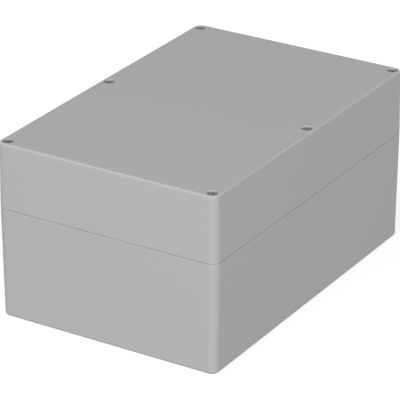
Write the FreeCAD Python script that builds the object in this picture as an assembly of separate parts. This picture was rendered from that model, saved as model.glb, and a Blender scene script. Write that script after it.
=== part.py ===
import FreeCAD, Part
import math
import os

# Polycarbonate enclosure: a drafted base and a deep lid that meet on a tongue-and-groove rim with a
# gasket. Six captive screws draw the lid down into brass inserts, and four wells beside the corner
# screws take the wall screws. All sizes are in millimetres.
# Frame: origin at the centre of the underside, +X along the length, +Y along the width, +Z up.

# Overall size at the seam, and the height of each shell
LENGTH = 240.0
WIDTH = 160.0
BASE_HEIGHT = 75.0
LID_HEIGHT = 45.0

# Moulded walls, their draft in degrees and the rounding of their edges
WALL = 3.0
FLOOR = 3.0
LID_TOP = 3.0
BASE_DRAFT = 0.7
LID_DRAFT = 0.8
CORNER_R = 6.0
BOTTOM_EDGE_R = 2.0
TOP_EDGE_R = 1.5
CAVITY_CORNER_R = 4.0
POST_EDGE_R = 3.0
INNER_EDGE_R = 1.2

# Rim: the base's tongue enters the lid's groove and presses on the gasket
TONGUE = 1.2
TONGUE_HEIGHT = 3.0
TONGUE_LEAD = 0.3
GROOVE_CLEARANCE = 0.3
GASKET_HEIGHT = 2.5
GASKET_CLEARANCE = 0.15
LIP = 1.0
SEAM_GAP = 0.3
SEAM_GAP_DEPTH = 0.7
SEAM_EDGE_R = 0.5

# Lid screws: cheese heads sunk in the lid, a waist that holds the washer, and a threaded end
SCREW_INSET = 6.0
SHANK_R = 2.0
HEAD_R = 3.4
HEAD_HEIGHT = 2.5
HEAD_SINK = 1.0
HEAD_CLEARANCE = 0.2
HEAD_EDGE = 0.3
MOUTH_EDGE = 0.2
RECESS_WIDTH = 1.1
RECESS_SPAN = 3.8
RECESS_DEPTH = 1.4
NECK_CLEARANCE = 0.25
SEAT_THICKNESS = 4.0
WAIST_R = 1.55
TIP_CHAMFER = 0.6
THREAD_PITCH = 0.7
RELEASE_TURNS = 12

# Washers that keep the screws in the lid
WASHER_R = 3.3
WASHER_THICKNESS = 0.9
WASHER_RUNNING_GAP = 0.3
WASHER_HOLE_GAP = 0.1
BORE_WALL = 3.4

# Brass thread inserts
INSERT_R = 2.8
INSERT_LENGTH = 8.0
INSERT_GROOVE_WIDTH = 1.6
INSERT_GROOVE_DEPTH = 0.4
INSERT_MOUTH = 0.3
INSERT_SINK = 0.3
INSERT_FIT = 0.05
THREAD_GAP = 0.1
TIP_GAP = 0.2
CORE_R = 2.2
CORE_FLOOR = 6.0

# Wells for the wall screws, beside the corner lid screws
WELL_SPACING = 10.5
WELL_R = 4.5
WELL_END_WALL = 3.5
WELL_SIDE_WALL = 3.0
WELL_FLOOR = 5.0
WELL_TOP = 6.0
WALL_SCREW_R = 2.4

# Bosses on the floor, placed from the inner faces of the walls, each on a sloped foot
BOSS_FOOT = 0.8
PLATE_BOSS_R = 4.6
PLATE_BOSS_HEIGHT = 8.8
PLATE_BOSS_FROM_END = 32.0
PLATE_BOSS_FROM_SIDE = 27.0
BOARD_BOSS_R = 3.2
BOARD_BOSS_HEIGHT = 8.0
BOARD_BOSS_FROM_END = 57.0
BOARD_BOSS_FROM_SIDE = 42.0
PILOT_R = 1.15
PILOT_DEPTH = 6.5

# Pairs of ribs that guide a board down the walls
RIB_THICKNESS = 1.5
RIB_DEPTH = 2.5
RIB_LEAD = 2.0
RIB_PITCH = 30.0
RIB_BELOW_RIM = 12.0
RIB_MARGIN = 8.0
BOARD_SLOT = 2.0

# Overrun of a cutting tool past the face that it leaves by
OVERRUN = 1.0

# Levels along Z
SEAM = BASE_HEIGHT
TOTAL_HEIGHT = BASE_HEIGHT + LID_HEIGHT
TONGUE_TOP = SEAM + TONGUE_HEIGHT
GROOVE_TOP = TONGUE_TOP + GASKET_HEIGHT
HEAD_TOP = TOTAL_HEIGHT - HEAD_SINK
HEAD_SEAT = HEAD_TOP - HEAD_HEIGHT
BORE_TOP = HEAD_SEAT - SEAT_THICKNESS
SCREW_TRAVEL = THREAD_PITCH * RELEASE_TURNS
WASHER_TOP = BORE_TOP - SCREW_TRAVEL
WASHER_BOTTOM = WASHER_TOP - WASHER_THICKNESS
INSERT_TOP = SEAM - INSERT_SINK
INSERT_BOTTOM = INSERT_TOP - INSERT_LENGTH
SCREW_TIP = INSERT_BOTTOM - TIP_GAP

# Offsets in plan, counted inwards from the mouth of the base's cavity
GROOVE_OUTER = -TONGUE - GROOVE_CLEARANCE
LIP_OUTER = GROOVE_CLEARANCE
LIP_INNER = GROOVE_CLEARANCE + LIP

# Places in plan
BORE_R = WASHER_R + WASHER_RUNNING_GAP
SCREW_X = LENGTH / 2 - SCREW_INSET
SCREW_Y = WIDTH / 2 - SCREW_INSET
WELL_X = SCREW_X - WELL_SPACING
WELL_Y = WIDTH / 2 - WALL - WELL_R
POST_LENGTH = SCREW_INSET + WELL_SPACING + WELL_R + WELL_END_WALL
POST_DEPTH = max(SCREW_INSET + BORE_R + BORE_WALL, WALL + 2 * WELL_R + WELL_SIDE_WALL)
POST_HALF = BORE_R + BORE_WALL


def narrowing(height, draft):
    """Inward shift of a drafted face over a height."""
    return height * math.tan(math.radians(draft))


def rounded_wire(corners, z):
    """Closed wire at height z through right-angled corners, each given as (x, y, radius)."""
    starts = []
    ends = []
    arcs = []
    for i, (x, y, radius) in enumerate(corners):
        corner = FreeCAD.Vector(x, y, z)
        before = FreeCAD.Vector(corners[i - 1][0], corners[i - 1][1], z)
        after = FreeCAD.Vector(corners[(i + 1) % len(corners)][0], corners[(i + 1) % len(corners)][1], z)
        back = (before - corner).normalize()
        ahead = (after - corner).normalize()
        start = corner + back * radius
        end = corner + ahead * radius
        middle = corner + (back + ahead) * (radius * (1 - math.sqrt(0.5)))
        starts.append(start)
        ends.append(end)
        arcs.append(Part.Arc(start, middle, end).toShape())
    edges = []
    for i, arc in enumerate(arcs):
        edges.append(arc)
        edges.append(Part.LineSegment(ends[i], starts[(i + 1) % len(starts)]).toShape())
    return Part.Wire(edges)


def all_round(quadrant):
    """Mirror the corners of the first quadrant into all four, in order round the outline."""
    second = [(-x, y, r) for x, y, r in reversed(quadrant)]
    third = [(-x, -y, r) for x, y, r in quadrant]
    fourth = [(x, -y, r) for x, y, r in reversed(quadrant)]
    return quadrant + second + third + fourth


def shell_outline(inset):
    """Corners of the enclosure's outside, moved in by inset."""
    return all_round([(LENGTH / 2 - inset, WIDTH / 2 - inset, CORNER_R - inset)])


def cavity_outline(offset):
    """Corners of the cavity between the screw posts, moved in by offset."""
    wall_x = LENGTH / 2 - WALL - offset
    wall_y = WIDTH / 2 - WALL - offset
    post_x = LENGTH / 2 - POST_LENGTH - offset
    post_y = WIDTH / 2 - POST_DEPTH - offset
    middle_x = POST_HALF + offset
    hollow = CAVITY_CORNER_R - offset
    proud = POST_EDGE_R + offset
    return all_round([
        (wall_x, post_y, hollow),
        (post_x, post_y, proud),
        (post_x, wall_y, hollow),
        (middle_x, wall_y, hollow),
        (middle_x, post_y, proud),
    ])


def loft(outline, sections):
    """Solid through an outline at each (height, offset), from the lowest to the highest."""
    wires = [rounded_wire(outline(offset), z) for z, offset in sections]
    return Part.makeLoft(wires, True, True)


def edges_at(shape, z):
    """Edges that lie flat at height z."""
    return [e for e in shape.Edges if abs(e.BoundBox.ZMin - z) < 0.001 and abs(e.BoundBox.ZMax - z) < 0.001]


def cylinder(x, y, radius, bottom, top):
    """Upright cylinder between two heights."""
    return Part.makeCylinder(radius, top - bottom, FreeCAD.Vector(x, y, bottom))


def turned(x, y, profile):
    """Solid turned about the upright axis at (x, y), from its profile of (radius, height)."""
    points = [FreeCAD.Vector(x + r, y, z) for r, z in profile]
    face = Part.Face(Part.makePolygon(points + points[:1]))
    return face.revolve(FreeCAD.Vector(x, y, 0), FreeCAD.Vector(0, 0, 1), 360)


def boss(x, y, radius, top):
    """Round boss on the floor, with its foot."""
    return turned(x, y, [
        (0.0, FLOOR / 2),
        (radius + BOSS_FOOT, FLOOR / 2),
        (radius + BOSS_FOOT, FLOOR),
        (radius, FLOOR + BOSS_FOOT),
        (radius, top),
        (0.0, top),
    ])


def screw_axes():
    """Axes of the lid screws in plan."""
    return [(x, y) for y in (-SCREW_Y, SCREW_Y) for x in (-SCREW_X, 0.0, SCREW_X)]


def well_axes():
    """Axes of the wall-screw wells in plan."""
    return [(x, y) for y in (-WELL_Y, WELL_Y) for x in (-WELL_X, WELL_X)]


def plate_boss_axes():
    """Axes of the floor bosses that carry inserts."""
    x = LENGTH / 2 - WALL - PLATE_BOSS_FROM_END
    y = WIDTH / 2 - WALL - PLATE_BOSS_FROM_SIDE
    return [(sx * x, sy * y) for sy in (-1, 1) for sx in (-1, 1)]


def board_boss_axes():
    """Axes of the plain floor bosses, in two rows of three."""
    x = LENGTH / 2 - WALL - BOARD_BOSS_FROM_END
    y = WIDTH / 2 - WALL - BOARD_BOSS_FROM_SIDE
    return [(sx * x, sy * y) for sy in (-1, 1) for sx in (-1, 0, 1)]


def rib_places(nearest, farthest):
    """Places of the rib pairs along a wall, on both sides of its middle."""
    half_pair = BOARD_SLOT / 2 + RIB_THICKNESS
    count = int((farthest - RIB_MARGIN - half_pair) / RIB_PITCH)
    places = [i * RIB_PITCH for i in range(-count, count + 1)]
    return [p for p in places if abs(p) >= nearest]


def rib_pair():
    """Two ribs on a wall whose inner face is the plane X = 0 and whose cavity is towards -X."""
    top = SEAM - RIB_BELOW_RIM
    side = [(WALL / 2, FLOOR), (WALL / 2, top), (0.0, top), (-RIB_DEPTH, top - RIB_LEAD), (-RIB_DEPTH, FLOOR)]
    points = [FreeCAD.Vector(x, BOARD_SLOT / 2, z) for x, z in side]
    rib = Part.Face(Part.makePolygon(points + points[:1])).extrude(FreeCAD.Vector(0, RIB_THICKNESS, 0))
    other = rib.mirror(FreeCAD.Vector(0, 0, 0), FreeCAD.Vector(0, 1, 0))
    return [rib, other]


def guide_ribs():
    """Rib pairs on the end walls and on the side walls between the posts."""
    ribs = []
    walls = []
    for place in rib_places(0.0, WIDTH / 2 - POST_DEPTH):
        walls.append((0, LENGTH / 2 - WALL, place))
        walls.append((180, LENGTH / 2 - WALL, place))
    for place in rib_places(POST_HALF + RIB_MARGIN, LENGTH / 2 - POST_LENGTH):
        walls.append((90, WIDTH / 2 - WALL, place))
        walls.append((270, WIDTH / 2 - WALL, place))
    for turn, distance, place in walls:
        for rib in rib_pair():
            rib.translate(FreeCAD.Vector(distance, place, 0))
            rib.rotate(FreeCAD.Vector(0, 0, 0), FreeCAD.Vector(0, 0, 1), turn)
            ribs.append(rib)
    return ribs


def make_base():
    """Base: drafted tray with the tongue, the posts, the bosses and the guide ribs."""
    body = loft(shell_outline, [(0.0, narrowing(BASE_HEIGHT, BASE_DRAFT)), (SEAM, 0.0)])
    body = body.makeFillet(BOTTOM_EDGE_R, edges_at(body, 0.0))
    body = body.makeFillet(SEAM_EDGE_R, edges_at(body, SEAM))
    tongue = loft(cavity_outline, [
        (SEAM, -TONGUE),
        (TONGUE_TOP - TONGUE_LEAD, -TONGUE),
        (TONGUE_TOP, TONGUE_LEAD - TONGUE),
    ])
    cavity = loft(cavity_outline, [
        (FLOOR, narrowing(SEAM - FLOOR, BASE_DRAFT)),
        (SEAM, 0.0),
        (TONGUE_TOP - TONGUE_LEAD, 0.0),
        (TONGUE_TOP, -TONGUE_LEAD),
    ])
    cavity = cavity.makeFillet(INNER_EDGE_R, edges_at(cavity, FLOOR))
    body = body.fuse(tongue).cut(cavity)

    added = guide_ribs()
    removed = []
    for x, y in plate_boss_axes():
        top = FLOOR + PLATE_BOSS_HEIGHT
        added.append(boss(x, y, PLATE_BOSS_R, top))
        removed.append(cylinder(x, y, INSERT_R + INSERT_FIT, top - INSERT_SINK - INSERT_LENGTH, top + OVERRUN))
    for x, y in board_boss_axes():
        top = FLOOR + BOARD_BOSS_HEIGHT
        added.append(boss(x, y, BOARD_BOSS_R, top))
        removed.append(cylinder(x, y, PILOT_R, top - PILOT_DEPTH, top + OVERRUN))
    for x, y in screw_axes():
        removed.append(cylinder(x, y, INSERT_R + INSERT_FIT, INSERT_BOTTOM, SEAM + OVERRUN))
        removed.append(cylinder(x, y, CORE_R, CORE_FLOOR, INSERT_BOTTOM + OVERRUN))
    for x, y in well_axes():
        removed.append(cylinder(x, y, WELL_R, WELL_FLOOR, SEAM + OVERRUN))
        removed.append(cylinder(x, y, WALL_SCREW_R, -OVERRUN, WELL_FLOOR + OVERRUN))
    return body.fuse(added).cut(removed).removeSplitter()


def screw_channel(x, y):
    """Stepped hole through the lid for one screw: counterbore, neck and washer bore."""
    return turned(x, y, [
        (0.0, SEAM - OVERRUN),
        (BORE_R, SEAM - OVERRUN),
        (BORE_R, BORE_TOP),
        (SHANK_R + NECK_CLEARANCE, BORE_TOP),
        (SHANK_R + NECK_CLEARANCE, HEAD_SEAT),
        (HEAD_R + HEAD_CLEARANCE, HEAD_SEAT),
        (HEAD_R + HEAD_CLEARANCE, TOTAL_HEIGHT - MOUTH_EDGE),
        (HEAD_R + HEAD_CLEARANCE + MOUTH_EDGE + OVERRUN, TOTAL_HEIGHT + OVERRUN),
        (0.0, TOTAL_HEIGHT + OVERRUN),
    ])


def make_lid():
    """Lid: drafted cover on a narrower foot, with the gasket groove and the screw channels."""
    skirt = SEAM + SEAM_GAP
    body = loft(shell_outline, [(skirt, 0.0), (TOTAL_HEIGHT, narrowing(TOTAL_HEIGHT - skirt, LID_DRAFT))])
    body = body.makeFillet(TOP_EDGE_R, edges_at(body, TOTAL_HEIGHT))
    body = body.makeFillet(SEAM_EDGE_R, edges_at(body, skirt))
    body = body.fuse(loft(shell_outline, [(SEAM, SEAM_GAP_DEPTH), (skirt + OVERRUN, SEAM_GAP_DEPTH)]))
    ceiling = TOTAL_HEIGHT - LID_TOP
    cavity = loft(cavity_outline, [(SEAM, LIP_INNER), (ceiling, LIP_INNER + narrowing(ceiling - SEAM, LID_DRAFT))])
    cavity = cavity.makeFillet(INNER_EDGE_R, edges_at(cavity, ceiling))
    groove = loft(cavity_outline, [(SEAM, GROOVE_OUTER), (GROOVE_TOP, GROOVE_OUTER)])
    lip = loft(cavity_outline, [(SEAM, LIP_OUTER), (GROOVE_TOP, LIP_OUTER)])
    removed = [cavity, groove.cut(lip)]
    for x, y in screw_axes():
        removed.append(screw_channel(x, y))
    for x, y in well_axes():
        removed.append(cylinder(x, y, WELL_R, SEAM - OVERRUN, TOTAL_HEIGHT - WELL_TOP))
    return body.cut(removed).removeSplitter()


def make_gasket():
    """Gasket strip that fills the groove above the tongue."""
    outer = loft(cavity_outline, [
        (TONGUE_TOP, GROOVE_OUTER + GASKET_CLEARANCE),
        (GROOVE_TOP, GROOVE_OUTER + GASKET_CLEARANCE),
    ])
    inner = loft(cavity_outline, [
        (TONGUE_TOP, LIP_OUTER - GASKET_CLEARANCE),
        (GROOVE_TOP, LIP_OUTER - GASKET_CLEARANCE),
    ])
    return outer.cut(inner)


def make_screw(x, y):
    """Captive lid screw with a cross recess."""
    screw = turned(x, y, [
        (0.0, SCREW_TIP),
        (SHANK_R - TIP_CHAMFER, SCREW_TIP),
        (SHANK_R, SCREW_TIP + TIP_CHAMFER),
        (SHANK_R, WASHER_BOTTOM),
        (WAIST_R, WASHER_BOTTOM),
        (WAIST_R, WASHER_TOP),
        (SHANK_R, WASHER_TOP),
        (SHANK_R, HEAD_SEAT),
        (HEAD_R, HEAD_SEAT),
        (HEAD_R, HEAD_TOP - HEAD_EDGE),
        (HEAD_R - HEAD_EDGE, HEAD_TOP),
        (0.0, HEAD_TOP),
    ])
    height = RECESS_DEPTH + OVERRUN
    for turn in (0, 90):
        slot = Part.makeBox(RECESS_SPAN, RECESS_WIDTH, height)
        slot.translate(FreeCAD.Vector(-RECESS_SPAN / 2, -RECESS_WIDTH / 2, HEAD_TOP - RECESS_DEPTH))
        slot.rotate(FreeCAD.Vector(0, 0, 0), FreeCAD.Vector(0, 0, 1), turn)
        slot.translate(FreeCAD.Vector(x, y, 0))
        screw = screw.cut(slot)
    return screw


def make_washer(x, y):
    """Washer in the screw's waist, free to slide in the lid's bore."""
    hole = WAIST_R + WASHER_HOLE_GAP
    return turned(x, y, [
        (hole, WASHER_BOTTOM),
        (WASHER_R, WASHER_BOTTOM),
        (WASHER_R, WASHER_TOP),
        (hole, WASHER_TOP),
    ])


def make_insert(x, y, top):
    """Brass insert: two knurled bands with a groove between them, and a bore for the thread."""
    bottom = top - INSERT_LENGTH
    groove_bottom = (bottom + top - INSERT_GROOVE_WIDTH) / 2
    groove_top = groove_bottom + INSERT_GROOVE_WIDTH
    bore = SHANK_R + THREAD_GAP
    return turned(x, y, [
        (bore, bottom),
        (INSERT_R, bottom),
        (INSERT_R, groove_bottom),
        (INSERT_R - INSERT_GROOVE_DEPTH, groove_bottom),
        (INSERT_R - INSERT_GROOVE_DEPTH, groove_top),
        (INSERT_R, groove_top),
        (INSERT_R, top),
        (bore + INSERT_MOUTH, top),
        (bore, top - INSERT_MOUTH),
    ])


def make_all():
    """Every piece of the enclosure by its name."""
    pieces = {"base": make_base(), "lid": make_lid(), "gasket": make_gasket()}
    for number, (x, y) in enumerate(screw_axes(), start=1):
        pieces[f"lid_screw_{number}"] = make_screw(x, y)
        pieces[f"screw_washer_{number}"] = make_washer(x, y)
        pieces[f"thread_insert_{number}"] = make_insert(x, y, INSERT_TOP)
    for number, (x, y) in enumerate(plate_boss_axes(), start=1):
        pieces[f"floor_insert_{number}"] = make_insert(x, y, FLOOR + PLATE_BOSS_HEIGHT - INSERT_SINK)
    return pieces


os.makedirs("parts", exist_ok=True)
for name, shape in make_all().items():
    shape.exportStep(os.path.join("parts", name + ".step"))
    print(name, "solids", len(shape.Solids), "faces", len(shape.Faces), "volume", round(shape.Volume, 1))
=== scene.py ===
"""Looks of a grey polycarbonate enclosure, built around its packed construction.

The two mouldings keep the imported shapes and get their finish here. The lid screws, the brass
inserts, the retaining washers and the gasket are modelled again with threads, knurls, drive
recesses and rounded edges, each on the node that it stands for. All lengths are in metres, except
where a line says otherwise.
"""

import logging
import math
from dataclasses import dataclass, field
from enum import Enum

import bmesh
import bpy
from mathutils import Matrix, Vector


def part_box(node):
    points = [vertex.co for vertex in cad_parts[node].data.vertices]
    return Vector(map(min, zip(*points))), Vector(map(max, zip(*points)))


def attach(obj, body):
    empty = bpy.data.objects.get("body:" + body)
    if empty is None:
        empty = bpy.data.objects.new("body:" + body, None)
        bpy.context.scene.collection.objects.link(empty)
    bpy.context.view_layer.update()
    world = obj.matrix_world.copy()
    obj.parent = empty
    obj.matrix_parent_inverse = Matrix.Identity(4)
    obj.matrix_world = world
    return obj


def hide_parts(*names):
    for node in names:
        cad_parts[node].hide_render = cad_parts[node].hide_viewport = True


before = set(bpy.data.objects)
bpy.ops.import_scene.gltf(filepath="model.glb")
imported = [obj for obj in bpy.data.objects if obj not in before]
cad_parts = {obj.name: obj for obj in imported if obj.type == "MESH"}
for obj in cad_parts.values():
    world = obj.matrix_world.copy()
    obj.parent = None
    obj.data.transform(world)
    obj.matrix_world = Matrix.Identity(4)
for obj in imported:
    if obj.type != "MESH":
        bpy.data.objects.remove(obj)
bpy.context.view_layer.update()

MM = 0.001
UP = Vector((0.0, 0.0, 1.0))
LOG = logging.getLogger("enclosure")

# Points closer than TINY are one point, and points within LEVEL of a height lie at it.
TINY = 1e-6
LEVEL = 3e-6

# The noise texture runs from 0 to 1.
NOISE_MIDDLE = 0.5

Colour = tuple[float, float, float]
Corner = tuple[float, float, float]
Direction = tuple[float, float, float]
Profile = list[tuple[float, float]]

WHITE: Colour = (1.0, 1.0, 1.0)


class Slot(Enum):
    """Material slots of the record."""

    ENCLOSURE = "enclosure"
    GASKET = "gasket"
    SCREW = "screw_steel"
    WASHER = "washer_nylon"
    INSERT = "insert_brass"


class Knurl(Enum):
    """Pattern rolled into a band of a brass insert, as the lean of its teeth in degrees."""

    LEFT = -28.0
    RIGHT = 28.0


def rgba(colour: Colour) -> tuple[float, float, float, float]:
    """Return a colour with full alpha."""
    return (*colour, 1.0)


def feed(node: bpy.types.Node, values: dict[str | int, object]) -> None:
    """Set or link the inputs of a node.

    Args:
        node: The node.
        values: By the name or number of an input, its value or the socket that feeds it.
    """
    for key, value in values.items():
        if isinstance(value, bpy.types.NodeSocket):
            node.id_data.links.new(value, node.inputs[key])
        else:
            node.inputs[key].default_value = value


def add_node(
    tree: bpy.types.NodeTree, kind: str, values: dict[str | int, object], **settings: object
) -> bpy.types.Node:
    """Add a shader node.

    Args:
        tree: Node tree of a material or a group.
        kind: Type of the node, without its ShaderNode prefix.
        values: By the name or number of an input, its value or the socket that feeds it.
        settings: Properties of the node by name.

    Returns:
        The new node.
    """
    node = tree.nodes.new(f"ShaderNode{kind}")
    for key, value in settings.items():
        setattr(node, key, value)
    feed(node, values)
    return node


@dataclass(frozen=True)
class SurfacePattern:
    """A fine relief, with a slower drift of tone and roughness, that several finishes share.

    Attributes:
        name: Name of the node group.
        feature_input: Name of the group's input for the size of the relief's features.
        variation_input: Name of its input for how far the tone strays.
        detail: Octaves of the relief.
        coarseness: Weight of each octave against the one before.
        stretch: How fast the relief changes along each axis.
        drift_scale: Features of the drift in a metre.
        drift_detail: Octaves of the drift.
        drift_range: Range of the drift over which the roughness goes from its lowest to its highest.
    """

    name: str
    feature_input: str
    variation_input: str
    detail: float
    coarseness: float
    stretch: tuple[float, float, float]
    drift_scale: float
    drift_detail: float
    drift_range: tuple[float, float]

    def start_group(self) -> bpy.types.ShaderNodeTree:
        """Start the node group, with its named inputs and outputs.

        Returns:
            The group, without nodes.
        """
        tree = bpy.data.node_groups.new(self.name, "ShaderNodeTree")
        tree.interface.new_socket("Vector", in_out="INPUT", socket_type="NodeSocketVector")
        for name in (self.feature_input, "Roughness Low", "Roughness High", self.variation_input):
            tree.interface.new_socket(name, in_out="INPUT", socket_type="NodeSocketFloat")
        for name in ("Height", "Tone", "Roughness"):
            tree.interface.new_socket(name, in_out="OUTPUT", socket_type="NodeSocketFloat")
        return tree

    def build(self) -> bpy.types.ShaderNodeTree:
        """Make the node group.

        Returns:
            The group. It puts out Height, a Tone factor round 1 and a Roughness.
        """
        tree = self.start_group()
        given = tree.nodes.new("NodeGroupInput").outputs
        per_metre = add_node(tree, "Math", {0: 1.0, 1: given[self.feature_input]}, operation="DIVIDE")
        place = add_node(tree, "VectorMath", {0: given["Vector"], 1: self.stretch}, operation="MULTIPLY")
        relief = add_node(tree, "TexNoise", {
            "Vector": place.outputs[0],
            "Scale": per_metre.outputs[0],
            "Detail": self.detail,
            "Roughness": self.coarseness,
        }, noise_dimensions="3D")
        drift = add_node(tree, "TexNoise", {
            "Vector": given["Vector"],
            "Scale": self.drift_scale,
            "Detail": self.drift_detail,
        }, noise_dimensions="3D")
        centring = {0: drift.outputs["Fac"], 1: NOISE_MIDDLE}
        centred = add_node(tree, "Math", centring, operation="SUBTRACT")
        straying = {0: centred.outputs[0], 1: given[self.variation_input], 2: 1.0}
        tone = add_node(tree, "Math", straying, operation="MULTIPLY_ADD")
        low, high = self.drift_range
        rough = add_node(tree, "MapRange", {
            "Value": drift.outputs["Fac"],
            "From Min": low,
            "From Max": high,
            "To Min": given["Roughness Low"],
            "To Max": given["Roughness High"],
        }, data_type="FLOAT")
        feed(tree.nodes.new("NodeGroupOutput"), {
            "Height": relief.outputs["Fac"],
            "Tone": tone.outputs[0],
            "Roughness": rough.outputs["Result"],
        })
        return tree


# The pitted grain of a spark-eroded mould, and the rings and small stains of turned metal.
SPARK_GRAIN = SurfacePattern(
    name="spark grain", feature_input="Grain Size", variation_input="Drift", detail=3.0, coarseness=0.6,
    stretch=(1.0, 1.0, 1.0), drift_scale=9.0, drift_detail=2.0, drift_range=(0.3, 0.7),
)
LATHE_MARKS = SurfacePattern(
    name="lathe marks", feature_input="Ring Pitch", variation_input="Stain", detail=2.0, coarseness=0.5,
    stretch=(0.02, 0.02, 1.0), drift_scale=900.0, drift_detail=4.0, drift_range=(0.35, 0.65),
)


@dataclass(frozen=True)
class Finish:
    """One surface finish: a base colour with the tone, roughness and relief of a pattern.

    Attributes:
        name: Name of the material.
        pattern: Pattern of the surface.
        colour: Base colour, linear.
        roughness: Lowest and highest roughness.
        feature: Size of the grain, or pitch of the rings.
        depth: Height of the relief.
        variation: How far the tone strays from the base colour.
        metallic: 1 for bare metal.
        specular: Specular level.
    """

    name: str
    pattern: SurfacePattern
    colour: Colour
    roughness: tuple[float, float]
    feature: float
    depth: float
    variation: float
    metallic: float = 0.0
    specular: float = 0.5

    def build(self, group: bpy.types.ShaderNodeTree) -> bpy.types.Material:
        """Make the material.

        Args:
            group: The built group of the pattern.

        Returns:
            The finished material.
        """
        material = bpy.data.materials.new(self.name)
        material.use_nodes = True
        tree = material.node_tree
        place = add_node(tree, "TexCoord", {})
        surface = add_node(tree, "Group", {
            "Vector": place.outputs["Object"],
            self.pattern.feature_input: self.feature,
            self.pattern.variation_input: self.variation,
            "Roughness Low": self.roughness[0],
            "Roughness High": self.roughness[1],
        }, node_tree=group)
        shade = add_node(
            tree, "VectorMath", {0: self.colour, "Scale": surface.outputs["Tone"]}, operation="SCALE"
        )
        bump = add_node(tree, "Bump", {"Distance": self.depth, "Height": surface.outputs["Height"]})
        feed(tree.nodes["Principled BSDF"], {
            "Base Color": shade.outputs[0],
            "Metallic": self.metallic,
            "Roughness": surface.outputs["Roughness"],
            "Specular IOR Level": self.specular,
            "Normal": bump.outputs["Normal"],
        })
        return material


FINISHES: dict[Slot, Finish] = {
    Slot.ENCLOSURE: Finish(
        name="light grey polycarbonate", pattern=SPARK_GRAIN, colour=(0.405, 0.413, 0.398),
        roughness=(0.42, 0.5), feature=0.35 * MM, depth=0.02 * MM, variation=0.03,
    ),
    Slot.GASKET: Finish(
        name="foamed gasket rubber", pattern=SPARK_GRAIN, colour=(0.028, 0.028, 0.03),
        roughness=(0.75, 0.9), feature=0.25 * MM, depth=0.05 * MM, variation=0.3,
    ),
    Slot.WASHER: Finish(
        name="natural nylon", pattern=SPARK_GRAIN, colour=(0.72, 0.7, 0.63),
        roughness=(0.35, 0.5), feature=0.3 * MM, depth=0.01 * MM, variation=0.06,
    ),
    # The screw steel's colour is darker than bare stainless steel. It is partly the metal's own colour
    # and partly painted shade, so that the heads sunk in their counterbores look dark.
    Slot.SCREW: Finish(
        name="turned stainless steel", pattern=LATHE_MARKS, colour=(0.34, 0.34, 0.325),
        roughness=(0.3, 0.45), feature=0.1 * MM, depth=0.006 * MM, variation=0.25, metallic=1.0,
    ),
    Slot.INSERT: Finish(
        name="knurled brass", pattern=LATHE_MARKS, colour=(0.78, 0.55, 0.24),
        roughness=(0.22, 0.38), feature=0.12 * MM, depth=0.006 * MM, variation=0.25, metallic=1.0,
    ),
}


class Palette:
    """The built materials by record slot."""

    def __init__(self) -> None:
        """Build each pattern's group once, and every material on its group."""
        groups = {pattern: pattern.build() for pattern in (SPARK_GRAIN, LATHE_MARKS)}
        self.by_slot = {slot: finish.build(groups[finish.pattern]) for slot, finish in FINISHES.items()}

    def __getitem__(self, slot: Slot) -> bpy.types.Material:
        """Return the material of a slot."""
        return self.by_slot[slot]


def rounded_profile(corners: list[Corner], steps: int = 4) -> Profile:
    """Round the corners of a profile.

    Args:
        corners: Each corner's radius, height and rounding.
        steps: Number of steps in each rounding.

    Returns:
        The profile's points (radius, height).
    """
    places = [Vector(corner[:2]) for corner in corners]
    points = []
    for index, (_, _, rounding) in enumerate(corners):
        here = places[index]
        if not rounding:
            points.append(tuple(here))
            continue
        back = (places[index - 1] - here).normalized()
        ahead = (places[(index + 1) % len(places)] - here).normalized()
        half = back.angle(ahead) / 2
        centre = here + (back + ahead).normalized() * (rounding / math.sin(half))
        reach = rounding / math.tan(half)
        start = (here + back * reach - centre).normalized()
        end = (here + ahead * reach - centre).normalized()
        points += [
            tuple(centre + start.slerp(end, step / steps) * rounding) for step in range(steps + 1)
        ]
    return points


@dataclass(frozen=True)
class ThreadForm:
    """A metric thread, as a wall that winds round the Z axis.

    Threads of one pitch keep step with each other, because their turns are counted from height 0.

    Attributes:
        inner: Smallest radius of the wall.
        outer: Largest radius of the wall.
        inner_flat: Share of the pitch over which the wall stays at its smallest radius.
        outer_flat: Share of the pitch over which it stays at its largest.
        pitch: Rise of one turn.
        sides: Number of steps in a turn.
    """

    inner: float
    outer: float
    inner_flat: float
    outer_flat: float
    pitch: float = 0.7 * MM
    sides: int = 48

    def profile(self, bottom: float, top: float) -> Profile:
        """Draw the wall's section.

        Args:
            bottom: Height of the thread's lower end.
            top: Height of its upper end.

        Returns:
            The points (radius, height), from a turn below the bottom to a turn above the top.
        """
        flank = (1.0 - self.inner_flat - self.outer_flat) / 2
        turn = (
            (-self.outer_flat / 2, self.outer),
            (self.outer_flat / 2, self.outer),
            (self.outer_flat / 2 + flank, self.inner),
            (self.outer_flat / 2 + flank + self.inner_flat, self.inner),
        )
        first = math.floor(bottom / self.pitch) - 1
        last = math.ceil(top / self.pitch) + 1
        return [
            (radius, (count + share) * self.pitch)
            for count in range(first, last) for share, radius in turn
        ]


def angle_of(vert: bmesh.types.BMVert) -> float:
    """Return a vertex's angle round the Z axis, in radians."""
    return math.atan2(vert.co.y, vert.co.x)


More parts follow.
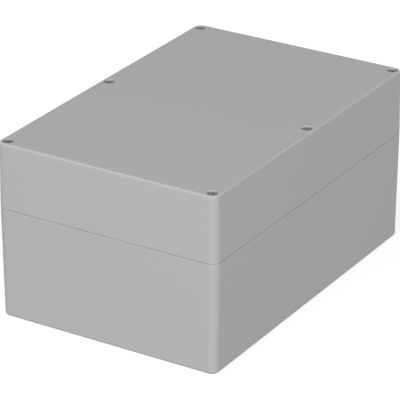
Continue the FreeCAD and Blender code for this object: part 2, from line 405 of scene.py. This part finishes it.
class Lathe:
    """A mesh built from walls that are turned about the Z axis."""

    def __init__(self, sides: int) -> None:
        """Start an empty mesh.

        Args:
            sides: Number of steps round the axis.
        """
        self.bm = bmesh.new()
        self.sides = sides

    def spin(self, profile: Profile, closed: bool, rise: float, sides: int) -> None:
        """Turn a profile once about the axis.

        Args:
            profile: Points (radius, height) in order.
            closed: True if the last point joins the first.
            rise: Height gained in the turn.
            sides: Number of steps in the turn.
        """
        points = [self.bm.verts.new((radius, 0.0, z)) for radius, z in profile]
        edges = [self.bm.edges.new(pair) for pair in zip(points, points[1:])]
        if closed:
            edges.append(self.bm.edges.new((points[-1], points[0])))
        bmesh.ops.spin(
            self.bm, geom=points + edges, cent=(0, 0, 0), axis=(0, 0, 1), dvec=UP * (rise / sides),
            angle=math.tau, steps=sides, use_merge=rise == 0.0, use_duplicate=False,
        )
        bmesh.ops.remove_doubles(self.bm, verts=self.bm.verts, dist=TINY)

    def turn(self, profile: Profile, closed: bool = False) -> None:
        """Turn a wall, given by its points (radius, height)."""
        self.spin(profile, closed, 0.0, self.sides)

    def thread(self, form: ThreadForm, bottom: float, top: float) -> None:
        """Wind a thread and cut it off square at both ends.

        Args:
            form: Shape of the thread.
            bottom: Height of its lower end.
            top: Height of its upper end.
        """
        before = set(self.bm.faces)
        self.spin(form.profile(bottom, top), False, form.pitch, form.sides)
        for z, outwards in ((bottom, -UP), (top, UP)):
            faces = [face for face in self.bm.faces if face not in before]
            around = dict.fromkeys(part for face in faces for part in (*face.verts, *face.edges))
            bmesh.ops.bisect_plane(
                self.bm, geom=[*faces, *around], dist=TINY, plane_co=UP * z, plane_no=outwards,
                clear_outer=True,
            )

    def knurl(
        self, root: float, crest: float, bottom: float, top: float, lean: Knurl, ramp: float
    ) -> None:
        """Roll a band of leaning teeth.

        Args:
            root: Radius between the teeth.
            crest: Radius over the teeth.
            bottom: Height of the band's lower end.
            top: Height of its upper end.
            lean: Lean of the teeth.
            ramp: Height over which the teeth rise at each end.
        """
        made = bmesh.ops.create_circle(
            self.bm, cap_ends=False, radius=root, segments=self.sides,
            matrix=Matrix.Translation(UP * bottom),
        )
        ring = list(dict.fromkeys(edge for vert in made["verts"] for edge in vert.link_edges))
        teeth = made["verts"][::2]
        climb = top - bottom - 2 * ramp
        twist = climb * math.tan(math.radians(lean.value)) / crest
        step = math.tau / self.sides
        lifts = ((ramp, 0.0, crest / root), (climb, twist, 1.0), (ramp, 0.0, root / crest))
        for rise, turn, growth in lifts:
            start = angle_of(teeth[0])
            grown = bmesh.ops.extrude_edge_only(self.bm, edges=ring)["geom"]
            verts = [part for part in grown if isinstance(part, bmesh.types.BMVert)]
            edges = [part for part in grown if isinstance(part, bmesh.types.BMEdge)]
            ring = [edge for edge in edges if set(edge.verts) <= set(verts)]
            bmesh.ops.translate(self.bm, verts=verts, vec=UP * rise)
            # Teeth stand over every other point, an even number of steps from each other.
            teeth = [vert for vert in verts if round((angle_of(vert) - start) / step) % 2 == 0]
            bmesh.ops.scale(self.bm, verts=teeth, vec=(growth, growth, 1.0))
            bmesh.ops.rotate(self.bm, verts=verts, cent=(0, 0, 0), matrix=Matrix.Rotation(turn, 3, "Z"))

    def rim(self, z: float) -> list[bmesh.types.BMEdge]:
        """Find the open edges that lie at a height.

        Args:
            z: The height.

        Returns:
            The edges.
        """
        return [
            edge for edge in self.bm.edges
            if len(edge.link_faces) < 2 and all(abs(vert.co.z - z) < LEVEL for vert in edge.verts)
        ]

    def ring(self, radius: float, z: float) -> None:
        """Add a loose circle of edges.

        Args:
            radius: Its radius.
            z: Its height.
        """
        bmesh.ops.create_circle(
            self.bm, cap_ends=False, radius=radius, segments=self.sides,
            matrix=Matrix.Translation(UP * z),
        )

    def join(self, z_a: float, z_b: float) -> None:
        """Bridge the open ends at two heights."""
        bmesh.ops.bridge_loops(self.bm, edges=self.rim(z_a) + self.rim(z_b))

    def cap(self, z: float) -> bmesh.types.BMFace:
        """Close the open end at a height with one flat face and return it."""
        return bmesh.ops.contextual_create(self.bm, geom=self.rim(z))["faces"][0]

    def stand_at(self, axis: Vector) -> bmesh.types.BMesh:
        """Turn the faces outwards and move the mesh to its axis.

        Args:
            axis: The axis, as a point at height 0.

        Returns:
            The mesh.
        """
        bmesh.ops.recalc_face_normals(self.bm, faces=self.bm.faces)
        bmesh.ops.translate(self.bm, verts=self.bm.verts, vec=axis)
        return self.bm


def finished_piece(
    name: str, bm: bmesh.types.BMesh, material: bpy.types.Material, smooth_below: float = 40.0
) -> bpy.types.Object:
    """Turn a mesh into an object at the origin.

    Args:
        name: Name of the piece.
        bm: The mesh, in its place. It is freed.
        material: Its material.
        smooth_below: Edges that fold by less than this many degrees are shaded smooth.

    Returns:
        The new object.
    """
    mesh = bpy.data.meshes.new(name)
    bm.to_mesh(mesh)
    bm.free()
    mesh.materials.append(material)
    mesh.shade_smooth()
    mesh.set_sharp_from_angle(angle=math.radians(smooth_below))
    piece = bpy.data.objects.new(name, mesh)
    bpy.context.scene.collection.objects.link(piece)
    return piece


def axis_of(node: str) -> Vector:
    """Return the middle of a node in plan, at height 0."""
    low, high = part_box(node)
    return Vector(((low.x + high.x) / 2, (low.y + high.y) / 2, 0.0))


def hand_over(piece: bpy.types.Object, node: str, body: str) -> bpy.types.Object:
    """Let a piece stand for a node of the frame.

    Args:
        piece: The finished piece.
        node: Node that it replaces.
        body: Body that it moves with.

    Returns:
        The piece.
    """
    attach(piece, body)
    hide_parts(node)
    return piece


@dataclass
class Mouldings:
    """The base and the lid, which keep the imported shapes.

    Attributes:
        palette: The built materials.
        nodes: Names of the two mouldings.
    """

    palette: Palette
    nodes: tuple[str, ...] = ("base", "lid")

    def build(self) -> list[bpy.types.Object]:
        """Give both mouldings their finish.

        Returns:
            The mouldings.
        """
        made = []
        for name in self.nodes:
            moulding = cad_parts[name]
            moulding.data.materials.clear()
            moulding.data.materials.append(self.palette[Slot.ENCLOSURE])
            made.append(moulding)
        return made


@dataclass
class LidScrews:
    """Captive lid screws: a cheese head with a cross recess, a waist for the washer and a thread.

    Attributes:
        palette: The built materials.
        sides: Steps round the turned parts.
        head_height: From the seat to the top of the head.
        head_rounding: Rounding of the head's upper edge.
        edge_rounding: Rounding of the other edges.
        shank: Radius of the plain shank.
        waist: Radius of the waist.
        tip: Radius of the flat end.
        tip_height: Height of the chamfer over the end.
        thread_length: Length of the thread, with its chamfer.
        run_out: Length over which the thread runs out into the shank.
        thread: Shape of the thread.
        recess_width: Width of an arm of the recess.
        recess_span: Span of the recess over two arms.
        recess_depth: Depth of the recess.
        recess_taper: Width of the recess at its floor, as a share of that at its mouth.
        recess_edge: Rounding of the recess's mouth.
        recess_edge_steps: Steps in that rounding.
        recess_turns: Turn of each screw's recess, in degrees. A screw stops wherever it is tight.
    """

    palette: Palette
    sides: int = 64
    head_height: float = 2.5 * MM
    head_rounding: float = 0.35 * MM
    edge_rounding: float = 0.1 * MM
    shank: float = 1.98 * MM
    waist: float = 1.55 * MM
    tip: float = 1.35 * MM
    tip_height: float = 0.6 * MM
    thread_length: float = 14.0 * MM
    run_out: float = 0.7 * MM
    thread: ThreadForm = ThreadForm(inner=1.57 * MM, outer=1.98 * MM, inner_flat=0.25, outer_flat=0.1)
    recess_width: float = 1.1 * MM
    recess_span: float = 3.8 * MM
    recess_depth: float = 1.4 * MM
    recess_taper: float = 0.8
    recess_edge: float = 0.06 * MM
    recess_edge_steps: int = 2
    recess_turns: tuple[float, ...] = (58.0, 70.0, 66.0, 74.0, 70.0, 68.0)

    def in_recess(self, point: Vector, arms: list[Vector]) -> bool:
        """Tell whether a point of the head's top lies in the cross of two arms."""
        across, along = sorted(abs(point.dot(arm)) for arm in arms)
        return across < self.recess_width / 2 and along < self.recess_span / 2

    def cut_recess(self, bm: bmesh.types.BMesh, face: bmesh.types.BMFace, turn: float) -> None:
        """Sink the cross into the top of the head.

        Args:
            bm: The screw, on the Z axis.
            face: The flat top of its head.
            turn: Turn of the cross, in degrees.
        """
        arms = [
            Matrix.Rotation(math.radians(turn + quarter), 3, "Z") @ Vector((1.0, 0.0, 0.0))
            for quarter in (0, 90)
        ]
        geom = [face, *face.edges, *face.verts]
        for side in arms:
            for reach in (self.recess_span / 2, self.recess_width / 2):
                for sign in (-1, 1):
                    geom = bmesh.ops.bisect_plane(
                        bm, geom=geom, dist=TINY, plane_co=side * (sign * reach), plane_no=side
                    )["geom"]
        cells = [part for part in geom if isinstance(part, bmesh.types.BMFace)]
        cross = [cell for cell in cells if self.in_recess(cell.calc_center_median(), arms)]
        edges = list(dict.fromkeys(edge for cell in cross for edge in cell.edges))
        mouth = [edge for edge in edges if any(other not in cross for other in edge.link_faces)]
        sunk = bmesh.ops.extrude_face_region(bm, geom=cross + edges)["geom"]
        verts = [part for part in sunk if isinstance(part, bmesh.types.BMVert)]
        bmesh.ops.translate(bm, verts=verts, vec=UP * -self.recess_depth)
        bmesh.ops.scale(bm, verts=verts, vec=(self.recess_taper, self.recess_taper, 1.0))
        bmesh.ops.bevel(
            bm, geom=mouth, offset=self.recess_edge, offset_type="OFFSET",
            segments=self.recess_edge_steps, profile=0.5, affect="EDGES", material=-1,
        )

    def build_one(self, number: int) -> bpy.types.Object:
        """Build one screw.

        Args:
            number: Number of its node.

        Returns:
            The finished piece.
        """
        node = f"lid_screw_{number}"
        low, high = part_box(node)
        waist_low, waist_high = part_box(f"screw_washer_{number}")
        head = (high.x - low.x) / 2
        seat = high.z - self.head_height
        thread_bottom = low.z + self.tip_height
        thread_top = low.z + self.thread_length
        lathe = Lathe(self.sides)
        lathe.thread(self.thread, thread_bottom, thread_top)
        lathe.ring(self.tip, low.z)
        lathe.join(low.z, thread_bottom)
        lathe.cap(low.z)
        lathe.turn(rounded_profile([
            (self.shank, thread_top + self.run_out, 0.0),
            (self.shank, waist_low.z, self.edge_rounding),
            (self.waist, waist_low.z, 0.0),
            (self.waist, waist_high.z, 0.0),
            (self.shank, waist_high.z, self.edge_rounding),
            (self.shank, seat, 0.0),
            (head, seat, self.edge_rounding),
            (head, high.z, self.head_rounding),
            (head - self.head_rounding - self.edge_rounding, high.z, 0.0),
        ]))
        lathe.join(thread_top, thread_top + self.run_out)
        self.cut_recess(lathe.bm, lathe.cap(high.z), self.recess_turns[number - 1])
        bm = lathe.stand_at(axis_of(node))
        piece = finished_piece(f"captive_screw_{number}", bm, self.palette[Slot.SCREW])
        return hand_over(piece, node, f"screw_{number}")

    def build(self) -> list[bpy.types.Object]:
        """Build every screw and return them."""
        return [self.build_one(number) for number in range(1, len(self.recess_turns) + 1)]


@dataclass
class BrassInserts:
    """Brass inserts: two knurled bands that lean opposite ways, a groove between and a tapped bore.

    Attributes:
        palette: The built materials.
        families: Start of the nodes' names, and number of inserts, in the screw posts and the floor.
        sides: Steps round the turned parts, two for each tooth of the knurl.
        tooth: Height of the knurl's teeth.
        tooth_edge: Height over which the teeth rise at the ends of a band.
        lead: Height of the smooth lead at the lower end.
        groove: Width of the groove between the bands.
        groove_depth: Its depth below the teeth.
        mouth: Width of the chamfer at each end of the bore.
        step: Width of the small chamfers, and of the gaps left between walls that are bridged.
        thread: Shape of the tapped thread.
    """

    palette: Palette
    families: tuple[tuple[str, int], ...] = (("thread_insert", 6), ("floor_insert", 4))
    sides: int = 72
    tooth: float = 0.18 * MM
    tooth_edge: float = 0.12 * MM
    lead: float = 0.7 * MM
    groove: float = 1.6 * MM
    groove_depth: float = 0.4 * MM
    mouth: float = 0.3 * MM
    step: float = 0.1 * MM
    thread: ThreadForm = ThreadForm(inner=1.68 * MM, outer=2.1 * MM, inner_flat=0.15, outer_flat=0.3)

    def build_one(self, node: str, name: str) -> bpy.types.Object:
        """Build one insert.

        Args:
            node: Node that it stands for.
            name: Name of the piece.

        Returns:
            The finished piece.
        """
        low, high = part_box(node)
        crest = (high.x - low.x) / 2
        root = crest - self.tooth
        bore = self.thread.outer
        middle = (low.z + high.z) / 2
        groove_low = middle - self.groove / 2
        groove_high = middle + self.groove / 2
        step = self.step
        lathe = Lathe(self.sides)
        lathe.turn([
            (bore, low.z + self.mouth),
            (bore + self.mouth, low.z),
            (root - step, low.z),
            (root, low.z + step),
            (root, low.z + self.lead - step),
        ])
        lathe.knurl(root, crest, low.z + self.lead, groove_low, Knurl.LEFT, self.tooth_edge)
        lathe.join(low.z + self.lead - step, low.z + self.lead)
        lathe.turn([
            (crest - self.groove_depth, groove_low + step),
            (crest - self.groove_depth, groove_high - step),
        ])
        lathe.join(groove_low, groove_low + step)
        lathe.knurl(root, crest, groove_high, high.z - 2 * step, Knurl.RIGHT, self.tooth_edge)
        lathe.join(groove_high - step, groove_high)
        lathe.turn([
            (root - step, high.z),
            (bore + self.mouth, high.z),
            (bore, high.z - self.mouth),
        ])
        lathe.join(high.z - 2 * step, high.z)
        lathe.thread(self.thread, low.z + self.mouth + step, high.z - self.mouth - step)
        lathe.join(low.z + self.mouth, low.z + self.mouth + step)
        lathe.join(high.z - self.mouth - step, high.z - self.mouth)
        piece = finished_piece(name, lathe.stand_at(axis_of(node)), self.palette[Slot.INSERT])
        return hand_over(piece, node, "base")

    def build(self) -> list[bpy.types.Object]:
        """Build every insert.

        Returns:
            The inserts of the screw posts, and then those of the floor bosses.
        """
        return [
            self.build_one(f"{family}_{number}", f"knurled_{family}_{number}")
            for family, count in self.families for number in range(1, count + 1)
        ]


@dataclass
class RetainingWashers:
    """Nylon washers that ride in the screws' waists.

    Attributes:
        palette: The built materials.
        count: Number of washers.
        sides: Steps round each washer.
        hole: Radius of the hole.
        rounding: Rounding of the edges.
        stop_gap: Air left over the washer where the seat above it ends its rise.
    """

    palette: Palette
    count: int = 6
    sides: int = 56
    hole: float = 1.65 * MM
    rounding: float = 0.18 * MM
    stop_gap: float = 0.02 * MM

    def build_one(self, number: int) -> bpy.types.Object:
        """Build one washer.

        Args:
            number: Number of its node.

        Returns:
            The finished piece.
        """
        node = f"screw_washer_{number}"
        low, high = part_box(node)
        rim = (high.x - low.x) / 2
        top = high.z - self.stop_gap
        corners = [(self.hole, low.z), (rim, low.z), (rim, top), (self.hole, top)]
        lathe = Lathe(self.sides)
        lathe.turn(rounded_profile([(*corner, self.rounding) for corner in corners]), closed=True)
        bm = lathe.stand_at(axis_of(node))
        piece = finished_piece(f"retaining_washer_{number}", bm, self.palette[Slot.WASHER])
        return hand_over(piece, node, f"washer_{number}")

    def build(self) -> list[bpy.types.Object]:
        """Build every washer and return them."""
        return [self.build_one(number) for number in range(1, self.count + 1)]


@dataclass
class GasketStrip:
    """Foamed strip in the lid's groove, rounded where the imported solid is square.

    Attributes:
        palette: The built materials.
        node: Node that it stands for.
        rounding: Rounding of its four long edges.
        rounding_steps: Steps in that rounding.
        fold: Least angle of an edge that is rounded, in degrees.
        flat: Angle under which neighbouring faces count as one flat face, in degrees.
    """

    palette: Palette
    node: str = "gasket"
    rounding: float = 0.45 * MM
    rounding_steps: int = 4
    fold: float = 60.0
    flat: float = 0.5

    def build(self) -> bpy.types.Object:
        """Build the strip from a merged copy of the node's mesh.

        Returns:
            The strip.
        """
        bm = bmesh.new()
        bm.from_mesh(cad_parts[self.node].data)
        bmesh.ops.remove_doubles(bm, verts=bm.verts, dist=TINY)
        bmesh.ops.dissolve_limit(
            bm, angle_limit=math.radians(self.flat), verts=bm.verts, edges=bm.edges
        )
        least = math.radians(self.fold)
        long_edges = [edge for edge in bm.edges if edge.calc_face_angle(0.0) > least]
        bmesh.ops.bevel(
            bm, geom=long_edges, offset=self.rounding, offset_type="OFFSET",
            segments=self.rounding_steps, profile=0.5, affect="EDGES", material=-1,
        )
        bmesh.ops.recalc_face_normals(bm, faces=bm.faces)
        piece = finished_piece("foam_gasket", bm, self.palette[Slot.GASKET])
        return hand_over(piece, self.node, "lid")


@dataclass(frozen=True)
class SoftLight:
    """A round soft light that faces the enclosure.

    Attributes:
        name: Name of the light.
        towards: Direction from the enclosure to the light.
        power: Power, in watts.
        size: Diameter.
        distance: From the enclosure to the light.
    """

    name: str
    towards: Direction
    power: float
    size: float = 2.0
    distance: float = 3.6

    def place(self, target: Vector) -> None:
        """Make the light.

        Args:
            target: Point that it faces.
        """
        data = bpy.data.lights.new(self.name, "AREA")
        data.shape = "DISK"
        data.size = self.size
        data.energy = self.power
        light = bpy.data.objects.new(self.name, data)
        towards = Vector(self.towards).normalized()
        light.location = target + towards * self.distance
        light.rotation_euler = (-towards).to_track_quat("-Z", "Y").to_euler()
        bpy.context.scene.collection.objects.link(light)


@dataclass
class Studio:
    """Floor, lights and camera.

    The floor stands for a white sheet far larger than the box. Only the camera sees it: the light
    that a room sends up from below comes from the surroundings, which are the same on every side.

    Attributes:
        azimuth: Direction of the camera round the enclosure, in degrees.
        elevation: Height of the camera above the horizon, in degrees.
        distance: From the camera to the point it looks at.
        target: Point that the camera looks at.
        lens: Focal length, in millimetres.
        sensor: Width of the sensor, in millimetres.
        clip: Nearest and farthest distance that the camera sees.
        floor_side: Side of the floor.
        floor_cells: Number of cells along it.
        floor_tone: Share of the light that the floor returns.
        floor_glow: Light that the floor adds of its own.
        surroundings: Strength of the light from all sides.
        lights: The soft lights.
    """

    azimuth: float = -58.43
    elevation: float = 24.757
    distance: float = 1.7724
    target: Vector = field(default_factory=lambda: Vector((0.0150, 0.01386, 0.04335)))
    lens: float = 242.66
    sensor: float = 36.0
    clip: tuple[float, float] = (0.05, 50.0)
    floor_side: float = 12.0
    floor_cells: int = 8
    floor_tone: float = 0.5
    floor_glow: float = 0.62
    surroundings: float = 0.416
    lights: tuple[SoftLight, ...] = (
        SoftLight("front light", (-0.55, -0.75, 0.35), 61.0),
        SoftLight("end light", (-0.87, -0.13, 0.47), 55.2),
        SoftLight("back light", (-0.45, 0.45, 0.77), 20.0),
        SoftLight("side fill", (0.05, 0.97, 0.2), 28.0),
        SoftLight("end fill", (0.97, -0.17, 0.2), 18.7),
    )

    def towards_camera(self) -> Vector:
        """Work out the direction from the enclosure to the camera.

        Returns:
            The direction, of length 1.
        """
        azimuth = math.radians(self.azimuth)
        elevation = math.radians(self.elevation)
        level = math.cos(elevation)
        return Vector((math.sin(azimuth) * level, -math.cos(azimuth) * level, math.sin(elevation)))

    def place_camera(self) -> None:
        """Make the scene's camera."""
        data = bpy.data.cameras.new("camera")
        data.lens = self.lens
        data.sensor_width = self.sensor
        data.sensor_fit = "HORIZONTAL"
        data.clip_start, data.clip_end = self.clip
        towards = self.towards_camera()
        camera = bpy.data.objects.new("camera", data)
        camera.location = self.target + towards * self.distance
        camera.rotation_euler = (-towards).to_track_quat("-Z", "Y").to_euler()
        bpy.context.scene.collection.objects.link(camera)
        bpy.context.scene.camera = camera

    def lay_floor(self) -> None:
        """Make the pale floor that the enclosure stands on."""
        bm = bmesh.new()
        bmesh.ops.create_grid(
            bm, x_segments=self.floor_cells, y_segments=self.floor_cells, size=self.floor_side / 2
        )
        material = bpy.data.materials.new("pale floor")
        material.use_nodes = True
        feed(material.node_tree.nodes["Principled BSDF"], {
            "Base Color": rgba((self.floor_tone,) * 3),
            "Roughness": 1.0,
            "Specular IOR Level": 0.0,
            "Emission Color": rgba(WHITE),
            "Emission Strength": self.floor_glow,
        })
        floor = finished_piece("floor", bm, material)
        floor.visible_diffuse = False
        floor.visible_glossy = False

    def surround(self) -> None:
        """Make the even light from all sides."""
        world = bpy.data.worlds.new("white studio")
        world.use_nodes = True
        feed(world.node_tree.nodes["Background"], {"Color": rgba(WHITE), "Strength": self.surroundings})
        bpy.context.scene.world = world

    def build(self) -> None:
        """Set up the whole studio."""
        self.place_camera()
        self.lay_floor()
        self.surround()
        for light in self.lights:
            light.place(self.target)
        bpy.context.scene.view_settings.view_transform = "Standard"


def main() -> None:
    """Build every part of the scene in order."""
    logging.basicConfig(level=logging.INFO, format="%(message)s")
    palette = Palette()
    pieces = Mouldings(palette).build()
    pieces += LidScrews(palette).build()
    pieces += BrassInserts(palette).build()
    pieces += RetainingWashers(palette).build()
    pieces.append(GasketStrip(palette).build())
    for piece in pieces:
        LOG.info("%s: %d faces", piece.name, len(piece.data.polygons))
    Studio().build()


if __name__ == "__main__":
    main()
